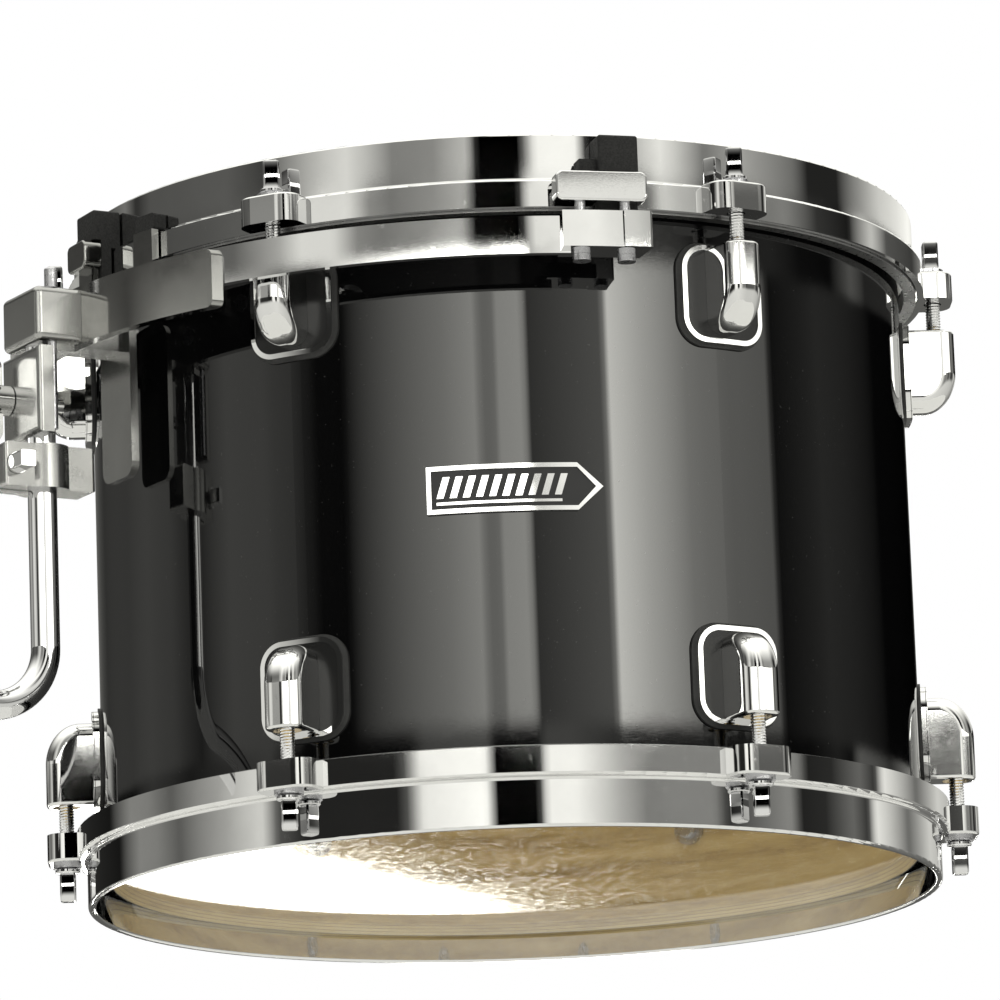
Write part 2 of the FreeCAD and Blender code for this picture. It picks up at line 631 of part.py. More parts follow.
arm_bar = band(ARM_R_IN, ARM_R_OUT, ARM_BOTTOM_Z, ARM_TOP_Z, ARM_START_ANGLE, PAD_START_ANGLE + OVERCUT)
arm_pad = band(PAD_R_IN, PAD_R_OUT, PAD_BOTTOM_Z, PAD_TOP_Z, PAD_START_ANGLE, PAD_LIP_ANGLE)
arm_lip = band(PAD_R_IN, PAD_R_OUT + PAD_LIP_T, PAD_BOTTOM_Z, PAD_TOP_Z, PAD_LIP_ANGLE, PAD_END_ANGLE)
arm = fuse_all([arm_bar, arm_pad, arm_lip])
arm = soften(arm, PAD_ROUND, lambda edge: is_line_along(edge, UP)
             and azimuth_of(edge.CenterOfMass) > PAD_END_ANGLE - OVERCUT)
arm_seat_r = ARM_R_IN - SEAT_GAP
arm_screws = []
arm_screw_holes = []
for angle in ARM_SCREW_ANGLES:
    arm_screws.append(at_azimuth(inner_screw(arm_seat_r, 0, ARM_SCREW_Z), angle))
    hole = radial_pin(MOUNT_SCREW_HOLE_R, ARM_R_IN - OVERCUT, arm_seat_r + MOUNT_SCREW_LENGTH + LEG_LAP,
                      0, ARM_SCREW_Z)
    arm_screw_holes.append(at_azimuth(hole, angle))
jaw_bolts = []
jaw_bolt_holes = []
bolt_seat_z = PAD_BOTTOM_Z - SEAT_GAP
for angle in JAW_BOLT_ANGLES:
    shank = upright(MOUNT_SCREW_R, bolt_seat_z, JAW_BOLT_TOP_Z, JAW_BOLT_CIRCLE_R, angle)
    head = upright(MOUNT_SCREW_HEAD_R, bolt_seat_z - MOUNT_SCREW_HEAD_T, bolt_seat_z,
                   JAW_BOLT_CIRCLE_R, angle)
    jaw_bolts.append(fuse_all([shank, head]))
    jaw_bolt_holes.append(upright(MOUNT_SCREW_HOLE_R, PAD_BOTTOM_Z - OVERCUT, JAW_BOLT_TOP_Z + LEG_LAP,
                                  JAW_BOLT_CIRCLE_R, angle))
arm = arm.cut(arm_screw_holes + jaw_bolt_holes)


def jaw(width, z_low, z_high):
    """Solid jaw with rounded corners and a softened outer face."""
    solid = soft_block(width, JAW_R_IN, JAW_R_OUT, z_low, z_high, JAW_CORNER, V(0, 1, 0))
    return soften(solid, JAW_ROUND, lambda edge: edge.CenterOfMass.y < -JAW_R_OUT + TOUCH)


end_hook = at_azimuth(jaw(END_JAW_W, END_JAW_BOTTOM_Z, END_JAW_TOP_Z), END_JAW_ANGLE).cut(jaw_bolt_holes)


def tall_grip(jaw_top_z):
    """Rubber on the hoop ledge that runs down inside the jaw and hooks under the collar."""
    outline = [
        (GRIP_R_IN, GRIP_TOP_Z), (GRIP_TOP_R_OUT, GRIP_TOP_Z), (GRIP_TOP_R_OUT, jaw_top_z + GRIP_LIFT),
        (GRIP_R_OUT, jaw_top_z + GRIP_LIFT), (GRIP_R_OUT, GRIP_BOTTOM_Z), (GRIP_UNDER_R_IN, GRIP_BOTTOM_Z),
        (GRIP_UNDER_R_IN, GRIP_UNDER_Z), (GRIP_GAP_R, GRIP_UNDER_Z),
        (GRIP_GAP_R, GRIP_SEAT_Z), (GRIP_R_IN, GRIP_SEAT_Z),
    ]
    corners = [V(-GRIP_W / 2, -r, z) for r, z in outline]
    slab = Part.Face(Part.makePolygon(corners + corners[:1])).extrude(V(GRIP_W, 0, 0))
    return soften(slab, GRIP_ROUND, lambda edge: edge.CenterOfMass.z > GRIP_TOP_Z - TOUCH
                  or (is_line_along(edge, UP) and edge.CenterOfMass.y < -GRIP_TOP_R_OUT + TOUCH))


grip_step = block(GRIP_STEP_W + OVERCUT, GRIP_R_IN + GRIP_LIFT, GRIP_R_OUT, GRIP_SEAT_Z, GRIP_STEP_TOP_Z,
                  -(GRIP_W + GRIP_STEP_W) / 2)
end_grip = at_azimuth(fuse_all([tall_grip(END_JAW_TOP_Z), grip_step]), END_GRIP_ANGLE)
short_grip = soft_block(SHORT_GRIP_W, GRIP_R_IN, SHORT_GRIP_R_OUT, GRIP_SEAT_Z, SHORT_GRIP_TOP_Z,
                        GRIP_ROUND, V(0, 1, 0))

plate_window = soft_block(PLATE_W, ARM_R_OUT - LONG / 2, PLATE_R_OUT + OVERCUT, PLATE_BOTTOM_Z, PLATE_TOP_Z,
                          PLATE_CORNER, V(0, 1, 0))
plate = tube(ARM_R_OUT, PLATE_R_OUT, PLATE_BOTTOM_Z - OVERCUT, PLATE_TOP_Z + OVERCUT).common(plate_window)


def plate_leg(r_in, z_high):
    """Strip that rises from the plate: an upright leg and the foot that joins it to the plate."""
    leg = block(CENTRE_LEG_W, r_in, r_in + CENTRE_LEG_T, CENTRE_FOOT_BOTTOM_Z, z_high)
    foot = block(CENTRE_LEG_W, r_in + CENTRE_LEG_T - LEG_LAP, ARM_R_OUT + OVERCUT,
                 CENTRE_FOOT_BOTTOM_Z, CENTRE_FOOT_TOP_Z)
    return fuse_all([leg, foot])


centre_jaw = fuse_all([jaw(CENTRE_JAW_W, CENTRE_JAW_BOTTOM_Z, CENTRE_JAW_TOP_Z),
                       plate_leg(JAW_R_IN, CENTRE_JAW_BOTTOM_Z + OVERCUT)])
centre_hooks = [
    at_azimuth(centre_jaw, CENTRE_JAW_ANGLE),
    at_azimuth(plate_leg(CENTRE_POST_R_IN, CENTRE_POST_TOP_Z), CENTRE_POST_ANGLE),
]
bracket_screws = []
bracket_holes = []
for x in (BRACKET_SCREW_X, -BRACKET_SCREW_X):
    bracket_screws.append(inner_screw(BRACKET_SCREW_SEAT_R, x, BRACKET_SCREW_Z))
    bracket_holes.append(radial_pin(MOUNT_SCREW_HOLE_R, ARM_R_IN, ARM_R_OUT + MOUNT_SCREW_LENGTH,
                                    x, BRACKET_SCREW_Z))
plate = fuse_all([plate] + centre_hooks)
plate = plate.cut(arm_screw_holes + [mirror_x(hole) for hole in arm_screw_holes] + bracket_holes)

stem_bar = soft_block(STEM_W, STEM_R_IN, STEM_R_OUT, STEM_BOTTOM_Z, STEM_TOP_Z, STEM_CORNER, V(0, 1, 0))
stem_root = block(STEM_ROOT_W, STEM_R_OUT - LEG_LAP, ARM_R_OUT + OVERCUT, STEM_ROOT_BOTTOM_Z, STEM_TOP_Z)
stem_root = stem_root.common(Part.makeCylinder(ARM_R_OUT - SEAT_GAP, LONG,
                                               V(0, 0, STEM_ROOT_BOTTOM_Z - OVERCUT)))
stem = fuse_all([stem_bar, stem_root])

# ------------------------------------------------------------------ bracket and clamp
split_in = LROD_AXIS_R - CLAMP_SPLIT
split_out = LROD_AXIS_R + CLAMP_SPLIT
clamp_w = CLAMP_X_NEAR - CLAMP_X_FAR
clamp_x = (CLAMP_X_NEAR + CLAMP_X_FAR) / 2
block_body = block(BLOCK_W, BLOCK_R_IN, BLOCK_R_OUT, BLOCK_BOTTOM_Z, BLOCK_TOP_Z)
block_body = soften(block_body, BLOCK_ROUND, lambda edge: edge.CenterOfMass.y < -(BLOCK_R_IN + OVERCUT))
block_body = block_body.cut(Part.makeCylinder(PLATE_R_OUT + SEAT_GAP, LONG,
                                              V(0, 0, BLOCK_BOTTOM_Z - OVERCUT)))
inner_half = block(clamp_w, CLAMP_R_IN, split_in, CLAMP_BOTTOM_Z, CLAMP_TOP_Z, clamp_x)
inner_half = soften(inner_half, CLAMP_ROUND, lambda edge: is_line_along(edge, UP)
                    and edge.CenterOfMass.y > -(CLAMP_R_IN + OVERCUT))
shoulder_edges = [edge for edge in inner_half.Edges if is_line_along(edge, V(1, 0, 0))
                  and edge.CenterOfMass.z > CLAMP_TOP_Z - TOUCH
                  and edge.CenterOfMass.y > -(CLAMP_R_IN + OVERCUT)]
inner_half = inner_half.makeChamfer(CLAMP_SHOULDER, shoulder_edges)
neck = block(NECK_W, BLOCK_R_IN + NECK_INSET, split_in - NECK_INSET / 2,
             CLAMP_TOP_Z - OVERCUT, BLOCK_BOTTOM_Z + OVERCUT)
lrod_bore = Part.makeCylinder(CLAMP_BORE_R, LONG, V(0, -LROD_AXIS_R, CLAMP_BOTTOM_Z - OVERCUT))
hinge_bore = Part.makeCylinder(HINGE_HOLE_R, LONG,
                               V(HINGE_PIN_X, -LROD_AXIS_R, HINGE_PIN_BOTTOM_Z - GRIP_LIFT))
wing_bore = radial_pin(WING_THREAD_BORE_R, WING_HOLE_END_R, LROD_AXIS_R, WING_X, WING_Z)
bracket = fuse_all([block_body, inner_half, neck])
bracket = bracket.cut([lrod_bore, hinge_bore, wing_bore] + bracket_holes)

cap = block(clamp_w, split_out, CLAMP_R_OUT, CLAMP_BOTTOM_Z, CLAMP_TOP_Z, clamp_x)
cap = soften(cap, CLAMP_ROUND, lambda edge: edge.CenterOfMass.y < -(CLAMP_R_OUT - TOUCH))
wing_clear = radial_pin(WING_CLEAR_HOLE_R, LROD_AXIS_R, CLAMP_R_OUT + OVERCUT, WING_X, WING_Z)
cap = cap.cut([lrod_bore, hinge_bore, wing_clear])

hinge_pin = Part.makeCylinder(HINGE_PIN_R, BLOCK_TOP_Z - HINGE_PIN_BOTTOM_Z,
                              V(HINGE_PIN_X, -LROD_AXIS_R, HINGE_PIN_BOTTOM_Z))
hinge_head = Part.makeCylinder(HINGE_HEAD_R, HINGE_HEAD_T, V(HINGE_PIN_X, -LROD_AXIS_R, BLOCK_TOP_Z))
hinge_head = soften(hinge_head, HINGE_HEAD_ROUND,
                    lambda edge: edge.CenterOfMass.z > BLOCK_TOP_Z + HINGE_HEAD_T - TOUCH)
hinge_pin = fuse_all([hinge_pin, hinge_head])

wing_seat = CLAMP_R_OUT + WING_GAP
wing_shank = radial_pin(WING_SHANK_R, WING_TIP_R, wing_seat + OVERCUT, WING_X, WING_Z)
wing_hub = radial_pin(WING_HUB_R, wing_seat, wing_seat + WING_HUB_T, WING_X, WING_Z)
wing_hub = soften(wing_hub, WING_HUB_ROUND, lambda edge: edge.Curve.TypeId == "Part::GeomCircle"
                  and edge.CenterOfMass.y < -(wing_seat + WING_HUB_T - TOUCH))
blade_start_r = wing_seat + WING_BLADE_START
wing_blade = block(WING_T, blade_start_r, blade_start_r + WING_H, WING_Z - WING_SPAN / 2,
                   WING_Z + WING_SPAN / 2, WING_X)
wing_blade = soften(wing_blade, WING_TIP_ROUND, lambda edge: is_line_along(edge, V(1, 0, 0)))
wing_bolt = fuse_all([wing_shank, wing_hub, wing_blade])

# ------------------------------------------------------------------ L-rod and memory lock
leg_end_z = LROD_ARM_Z + LROD_BEND_R
leg = Part.makeCylinder(LROD_R, LROD_TOP_Z - leg_end_z, V(0, -LROD_AXIS_R, leg_end_z))
leg = leg.makeChamfer(LROD_END_CHAMFER, [edge for edge in leg.Edges
                                         if abs(edge.CenterOfMass.z - LROD_TOP_Z) < TOUCH])
bend_face = Part.Face(Part.Wire(Part.makeCircle(LROD_R, V(0, -LROD_AXIS_R, leg_end_z), UP)))
bend_centre = V(0, -(LROD_AXIS_R + LROD_BEND_R), leg_end_z)
bend = bend_face.revolve(bend_centre, V(1, 0, 0), -90)
arm_start_r = LROD_AXIS_R + LROD_BEND_R
foot_rod = radial_pin(LROD_R, arm_start_r, LROD_ARM_END_R, 0, LROD_ARM_Z)
foot_rod = foot_rod.makeChamfer(LROD_END_CHAMFER, [edge for edge in foot_rod.Edges
                                                   if edge.CenterOfMass.y < -(LROD_ARM_END_R - TOUCH)])
l_rod = fuse_all([leg, bend, foot_rod])

lock_ring = Part.makeCylinder(LOCK_R, LOCK_TOP_Z - LOCK_BOTTOM_Z, V(0, -LROD_AXIS_R, LOCK_BOTTOM_Z))
lock_tail = block(LOCK_TAIL_W, LOCK_TAIL_R_IN, LROD_AXIS_R, LOCK_BOTTOM_Z, LOCK_TOP_Z)
lock_tail = soften(lock_tail, LOCK_ROUND, lambda edge: edge.CenterOfMass.y > -(LOCK_TAIL_R_IN + TOUCH))
lock_ear = block(LOCK_EAR_W, LROD_AXIS_R, LOCK_EAR_R_OUT, LOCK_BOTTOM_Z, LOCK_TOP_Z)
lock_ear = soften(lock_ear, LOCK_ROUND, lambda edge: edge.CenterOfMass.y < -(LOCK_EAR_R_OUT - TOUCH))
lock_slit = block(LOCK_SLIT_W, LROD_AXIS_R, LOCK_EAR_R_OUT + OVERCUT, LOCK_BOTTOM_Z - OVERCUT,
                  LOCK_TOP_Z + OVERCUT)
lock_bore = Part.makeCylinder(LOCK_BORE_R, LONG, V(0, -LROD_AXIS_R, LOCK_BOTTOM_Z - OVERCUT))
lock_mid_z = (LOCK_TOP_Z + LOCK_BOTTOM_Z) / 2
lock_bolt_bore = Part.makeCylinder(LOCK_BOLT_BORE_R, LOCK_EAR_W + 2 * OVERCUT,
                                   V(-LOCK_EAR_W / 2 - OVERCUT, -LOCK_BOLT_AXIS_R, lock_mid_z), V(1, 0, 0))
lock = fuse_all([lock_ring, lock_tail, lock_ear]).cut([lock_slit, lock_bore, lock_bolt_bore])

bolt_seat_x = LOCK_EAR_W / 2 + HEAD_LIFT
bolt_shank = Part.makeCylinder(LOCK_BOLT_R, LOCK_EAR_W + HEAD_LIFT - LEG_LAP,
                               V(-LOCK_EAR_W / 2 + LEG_LAP, -LOCK_BOLT_AXIS_R, lock_mid_z), V(1, 0, 0))
bolt_collar = Part.makeCylinder(LOCK_BOLT_COLLAR_R, LOCK_BOLT_COLLAR_T,
                                V(bolt_seat_x, -LOCK_BOLT_AXIS_R, lock_mid_z), V(1, 0, 0))
bolt_square = Part.makeBox(LOCK_BOLT_HEAD_T, LOCK_BOLT_HEAD_W, LOCK_BOLT_HEAD_W,
                           V(bolt_seat_x + LOCK_BOLT_COLLAR_T, -LOCK_BOLT_AXIS_R - LOCK_BOLT_HEAD_W / 2,
                             lock_mid_z - LOCK_BOLT_HEAD_W / 2))
bolt_square = soften(bolt_square, LOCK_BOLT_CORNER, lambda edge: is_line_along(edge, V(1, 0, 0)))
lock_bolt = fuse_all([bolt_shank, bolt_collar, bolt_square])

# ------------------------------------------------------------------ place the mount on the drum
mount_nodes = {
    "mount_arm_front": arm,
    "mount_arm_rear": mirror_x(arm),
    "mount_center_plate": plate,
    "mount_stem": stem,
    "mount_plate_screws": Part.makeCompound(
        arm_screws + [mirror_x(screw) for screw in arm_screws] + bracket_screws),
    "mount_end_hook_front": end_hook,
    "mount_end_hook_rear": mirror_x(end_hook),
    "mount_hook_screws": Part.makeCompound(jaw_bolts + [mirror_x(bolt) for bolt in jaw_bolts]),
    "grip_rubber_end_front": end_grip,
    "grip_rubber_end_rear": mirror_x(end_grip),
    "grip_rubber_center_front": at_azimuth(short_grip, CENTRE_POST_ANGLE),
    "grip_rubber_center_rear": at_azimuth(tall_grip(CENTRE_JAW_TOP_Z), CENTRE_JAW_ANGLE),
    "bracket_body": bracket,
    "clamp_cap": cap,
    "clamp_hinge_pin": hinge_pin,
    "wing_bolt": wing_bolt,
    "memory_lock": lock,
    "memory_lock_bolt": lock_bolt,
    "l_rod": l_rod,
}
for name, shape in mount_nodes.items():
    nodes[name] = at_azimuth(shape, MOUNT_AZ)

os.makedirs("parts", exist_ok=True)
for name, shape in nodes.items():
    shape.exportStep("parts/%s.step" % name)
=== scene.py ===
import json
import math

import bmesh
import bpy
from mathutils import Matrix, Vector


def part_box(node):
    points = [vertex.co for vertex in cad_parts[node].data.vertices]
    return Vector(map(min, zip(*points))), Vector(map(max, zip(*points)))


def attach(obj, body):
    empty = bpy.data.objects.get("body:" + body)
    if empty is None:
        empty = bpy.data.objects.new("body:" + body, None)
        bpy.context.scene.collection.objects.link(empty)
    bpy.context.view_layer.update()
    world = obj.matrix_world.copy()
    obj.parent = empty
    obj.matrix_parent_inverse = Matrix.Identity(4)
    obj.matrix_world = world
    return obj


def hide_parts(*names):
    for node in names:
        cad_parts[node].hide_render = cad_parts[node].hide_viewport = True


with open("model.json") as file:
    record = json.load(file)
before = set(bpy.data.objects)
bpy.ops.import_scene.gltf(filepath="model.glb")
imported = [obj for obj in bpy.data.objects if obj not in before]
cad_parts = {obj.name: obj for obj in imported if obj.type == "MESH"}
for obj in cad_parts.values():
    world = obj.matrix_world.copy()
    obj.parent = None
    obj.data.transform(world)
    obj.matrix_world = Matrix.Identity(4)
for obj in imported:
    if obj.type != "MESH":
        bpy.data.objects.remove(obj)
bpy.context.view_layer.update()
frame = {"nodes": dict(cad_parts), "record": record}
nodes = frame["nodes"]

scene = bpy.context.scene
scene.view_settings.view_transform = "Standard"

MM = 0.001

# distances from the drum axis where the black enamel lies
LUG_SUNK_FACE_R = 153.9 * MM
BADGE_FIELD_R = 151.9 * MM
ENAMEL_INNER_SLACK = 0.16 * MM
ENAMEL_OUTER_SLACK = 0.06 * MM

PLY_THICKNESS = 1.0 * MM
FILM_IOR = 1.45
LOWER_FILM_SHEEN = 0.4
UPPER_FILM_SHEEN = 0.07
WRAP_IOR = 1.5

# turned and squared tension rods, measured along the rod from its threaded end
THREAD_PITCH = 1.06 * MM
THREAD_DEPTH = 0.32 * MM
THREAD_END_GAP = 9 * MM
ROWS_PER_TURN = 8
ROD_R = 2.75 * MM
ROD_TIP_TAPER = 0.5 * MM
ROD_TIP_LENGTH = 0.6 * MM
ROD_SEGMENTS = 48
COLLAR_START = 39.1 * MM
COLLAR_LENGTH = 1.6 * MM
KEY_HALF_WIDTH = 2.9 * MM
KEY_CORNER_REACH = 3.66 * MM
SHARP_ANGLE = math.radians(38)

FLOOR_RADIUS = 3.0
FLOOR_HEIGHT = -1.35
PANEL_EDGE = 0.06
CEILING_LIGHT = 1.5
STRIP_LIGHT = 12.0
WARM_WHITE = (1.0, 0.995, 0.93)

CAMERA_PLACE = Vector((-0.080395, -2.486014, -0.63475))
CAMERA_LENS = 246.13
CAMERA_HEADING = -0.032088
CAMERA_PITCH = 0.2162
CAMERA_ROLL = -0.0359


# ---------------------------------------------------------------- node helpers
class Graph:
    """Builds a node tree; each method adds one small group of nodes and returns its output."""

    def __init__(self, tree):
        self.tree = tree
        tree.nodes.clear()

    def add(self, kind, **settings):
        node = self.tree.nodes.new(kind)
        for key, value in settings.items():
            setattr(node, key, value)
        return node

    def link(self, source, target):
        self.tree.links.new(source, target)

    def value_into(self, socket, value):
        if hasattr(value, "links"):
            self.link(value, socket)
        else:
            socket.default_value = value

    def math(self, operation, a, b=0.0, c=0.0):
        node = self.add("ShaderNodeMath", operation=operation)
        for index, value in enumerate((a, b, c)):
            self.value_into(node.inputs[index], value)
        return node.outputs[0]

    def span(self, value, low, high, to_low=0.0, to_high=1.0):
        """Smooth step from to_low at low to to_high at high."""
        node = self.add("ShaderNodeMapRange", interpolation_type="SMOOTHSTEP")
        for index, item in enumerate((value, low, high, to_low, to_high)):
            self.value_into(node.inputs[index], item)
        return node.outputs[0]

    def ramp(self, factor, stops):
        """Linear ramp from (position, grey or colour) stops."""
        node = self.add("ShaderNodeValToRGB")
        node.color_ramp.interpolation = "LINEAR"
        elements = node.color_ramp.elements
        while len(elements) > 1:
            elements.remove(elements[-1])
        for index, (position, colour) in enumerate(stops):
            element = elements[0] if index == 0 else elements.new(position)
            element.position = position
            if isinstance(colour, (int, float)):
                colour = (colour, colour, colour)
            element.color = (*colour, 1.0)
        self.value_into(node.inputs[0], factor)
        return node.outputs[0]

    def mix(self, factor, a, b, kind="MIX"):
        node = self.add("ShaderNodeMix", data_type="RGBA", blend_type=kind)
        self.value_into(node.inputs[0], factor)
        for socket, value in ((node.inputs[6], a), (node.inputs[7], b)):
            if isinstance(value, tuple) and len(value) == 3:
                value = (*value, 1.0)
            self.value_into(socket, value)
        return node.outputs[2]

    def noise(self, vector, scale, detail=2.0, roughness=0.5, distortion=0.0):
        node = self.add("ShaderNodeTexNoise")
        self.link(vector, node.inputs["Vector"])
        node.inputs["Scale"].default_value = scale
        node.inputs["Detail"].default_value = detail
        node.inputs["Roughness"].default_value = roughness
        node.inputs["Distortion"].default_value = distortion
        return node.outputs[0]

    def blend(self, a, b, share):
        """Plain number mix of two values."""
        node = self.add("ShaderNodeMix", data_type="FLOAT")
        for socket, value in ((node.inputs[0], share), (node.inputs[2], a), (node.inputs[3], b)):
            self.value_into(socket, value)
        return node.outputs[0]

    def place(self, scale=(1, 1, 1)):
        """Object coordinates, stretched."""
        source = self.add("ShaderNodeTexCoord").outputs["Object"]
        node = self.add("ShaderNodeMapping")
        self.link(source, node.inputs["Vector"])
        node.inputs["Scale"].default_value = scale
        return node.outputs[0]

    def split(self, vector):
        """The three numbers of a vector."""
        node = self.add("ShaderNodeSeparateXYZ")
        self.link(vector, node.inputs[0])
        return node.outputs[0], node.outputs[1], node.outputs[2]

    def object_point(self):
        """Object coordinates of the shaded point; the drum axis is Z."""
        return self.split(self.add("ShaderNodeTexCoord").outputs["Object"])

    def axis_distance(self, x, y):
        """Distance from the drum axis."""
        squares = self.math("ADD", self.math("MULTIPLY", x, x), self.math("MULTIPLY", y, y))
        return self.math("SQRT", squares)

    def bump(self, height, strength, distance):
        node = self.add("ShaderNodeBump")
        node.inputs["Strength"].default_value = strength
        node.inputs["Distance"].default_value = distance
        self.link(height, node.inputs["Height"])
        return node.outputs[0]


def new_material(name):
    """Material with one principled shader; returns it with its tree and the shader."""
    material = bpy.data.materials.new(name)
    material.use_nodes = True
    graph = Graph(material.node_tree)
    shader = graph.add("ShaderNodeBsdfPrincipled")
    output = graph.add("ShaderNodeOutputMaterial")
    graph.link(shader.outputs[0], output.inputs[0])
    return material, graph, shader


def polished_parts(name, colour, rough_low, rough_high):
    """Plated metal with faint polish lines, a few scuffs and slight haze; returns its tree too."""
    material, graph, shader = new_material(name)
    where = graph.place()
    lines = graph.noise(graph.place(scale=(1, 1, 9)), 900.0, 3.0, 0.6)
    haze = graph.noise(where, 38.0, 4.0, 0.6)
    spots = graph.noise(where, 260.0, 2.0, 0.5)
    scuffs = graph.span(spots, 0.66, 0.78)
    wear = graph.math("MULTIPLY_ADD", haze, 0.7, graph.math("MULTIPLY", lines, 0.3))
    rough = graph.span(wear, 0.3, 0.75, rough_low, rough_high)
    rough = graph.math("MULTIPLY_ADD", scuffs, 0.03, rough)
    graph.link(rough, shader.inputs["Roughness"])
    tint = graph.mix(graph.span(haze, 0.35, 0.7), tuple(c * 0.94 for c in colour), colour)
    graph.link(tint, shader.inputs["Base Color"])
    shader.inputs["Metallic"].default_value = 1.0
    height = graph.math("MULTIPLY_ADD", lines, 0.35, graph.math("MULTIPLY", haze, 0.6))
    graph.link(graph.bump(height, 0.05, 0.00002), shader.inputs["Normal"])
    return material, graph, shader


def polished_metal(name, colour, rough_low, rough_high):
    """Plated metal on its own."""
    return polished_parts(name, colour, rough_low, rough_high)[0]


def lug_material():
    """Chrome casting whose base plate has a black sunk face inside a bright bead."""
    material, graph, shader = polished_parts("chrome_lug", (0.80, 0.80, 0.80), 0.015, 0.05)
    enamel_at(graph, shader, LUG_SUNK_FACE_R, (0.008, 0.008, 0.008), 0.22)
    return material


def badge_material():
    """Polished border and ribs over a dark enamel field."""
    material, graph, shader = polished_parts("badge_metal", (0.86, 0.86, 0.86), 0.05, 0.14)
    enamel_at(graph, shader, BADGE_FIELD_R, (0.012, 0.012, 0.013), 0.3)
    return material


def enamel_at(graph, shader, radius, colour, rough):
    """Dark enamel where a face lies at one distance from the drum axis."""
    x, y, _ = graph.object_point()
    here = graph.axis_distance(x, y)
    inner = graph.math("GREATER_THAN", here, radius - ENAMEL_INNER_SLACK)
    outer = graph.math("LESS_THAN", here, radius + ENAMEL_OUTER_SLACK)
    paint_over(graph, shader, graph.math("MULTIPLY", inner, outer), colour, rough)


def paint_over(graph, shader, mask, colour, rough):
    """Turn the masked part of a polished metal into dark enamel."""
    sources = {}
    for link in graph.tree.links:
        if link.to_node == shader:
            sources[link.to_socket.name] = link.from_socket
    tinted = graph.mix(mask, sources["Base Color"], colour)
    graph.link(tinted, shader.inputs["Base Color"])
    graph.link(graph.blend(sources["Roughness"], rough, mask), shader.inputs["Roughness"])
    graph.link(graph.math("SUBTRACT", 1.0, mask), shader.inputs["Metallic"])


def grained_material(name, colour, dark, roughness, grain, strength, metallic=0.0):
    """Moulded, turned or rolled surface with a fine grain and uneven sheen."""
    material, graph, shader = new_material(name)
    where = graph.place()
    fine = graph.noise(where, grain, 4.0, 0.6)
    broad = graph.noise(where, grain / 14, 3.0, 0.5)
    graph.link(graph.mix(graph.span(broad, 0.3, 0.7), dark, colour), shader.inputs["Base Color"])
    graph.link(graph.span(fine, 0.3, 0.7, *roughness), shader.inputs["Roughness"])
    shader.inputs["Metallic"].default_value = metallic
    graph.link(graph.bump(fine, strength, 0.0003), shader.inputs["Normal"])
    return material


# ---------------------------------------------------------------- materials
chrome = polished_metal("chrome_plate", (0.80, 0.80, 0.80), 0.008, 0.026)
chrome_rod = polished_metal("chrome_steel", (0.78, 0.78, 0.79), 0.02, 0.06)
chrome_lug = lug_material()
badge_metal = badge_material()
# painted shade: this chrome's colour is darkened to 0.34 to stand in for the dark reflection on the
# mount's centre plate
shade_darkened_plate = polished_metal("shade_darkened_plate", (0.34, 0.34, 0.33), 0.05, 0.11)
satin_chrome = polished_metal("satin_chrome", (0.43, 0.43, 0.42), 0.16, 0.30)
steel = grained_material(
    "zinc_steel", (0.62, 0.62, 0.64), (0.5, 0.5, 0.52), (0.22, 0.4), 700.0, 0.08, metallic=1.0)
aluminium = grained_material(
    "rolled_aluminium", (0.30, 0.30, 0.30), (0.22, 0.22, 0.22), (0.25, 0.4), 500.0, 0.05, metallic=1.0)
brass = grained_material(
    "turned_brass", (0.78, 0.60, 0.30), (0.66, 0.48, 0.22), (0.18, 0.34), 600.0, 0.08, metallic=1.0)
rubber = grained_material(
    "grip_rubber", (0.008, 0.008, 0.008), (0.004, 0.004, 0.004), (0.6, 0.85), 1400.0, 0.25)
gasket = grained_material(
    "gasket_rubber", (0.03, 0.03, 0.03), (0.018, 0.018, 0.018), (0.45, 0.7), 1600.0, 0.2)


def wrap_material():
    """Deep gloss black: thin orange-peel ripple, fine dust and hairline polish marks."""
    material, graph, shader = new_material("gloss_black")
    where = graph.place()
    peel = graph.noise(where, 55.0, 1.0, 0.4)
    hair = graph.noise(graph.place(scale=(1, 1, 14)), 420.0, 4.0, 0.65)
    dust = graph.span(graph.noise(where, 900.0, 1.0, 0.4), 0.74, 0.80)
    base = graph.mix(dust, (0.0022, 0.0022, 0.0024), (0.03, 0.03, 0.03))
    graph.link(base, shader.inputs["Base Color"])
    graph.link(graph.span(hair, 0.45, 0.8, 0.015, 0.045), shader.inputs["Roughness"])
    shader.inputs["IOR"].default_value = WRAP_IOR
    height = graph.math("MULTIPLY_ADD", hair, 0.06, peel)
    graph.link(graph.bump(height, 0.02, 0.0003), shader.inputs["Normal"])
    return material


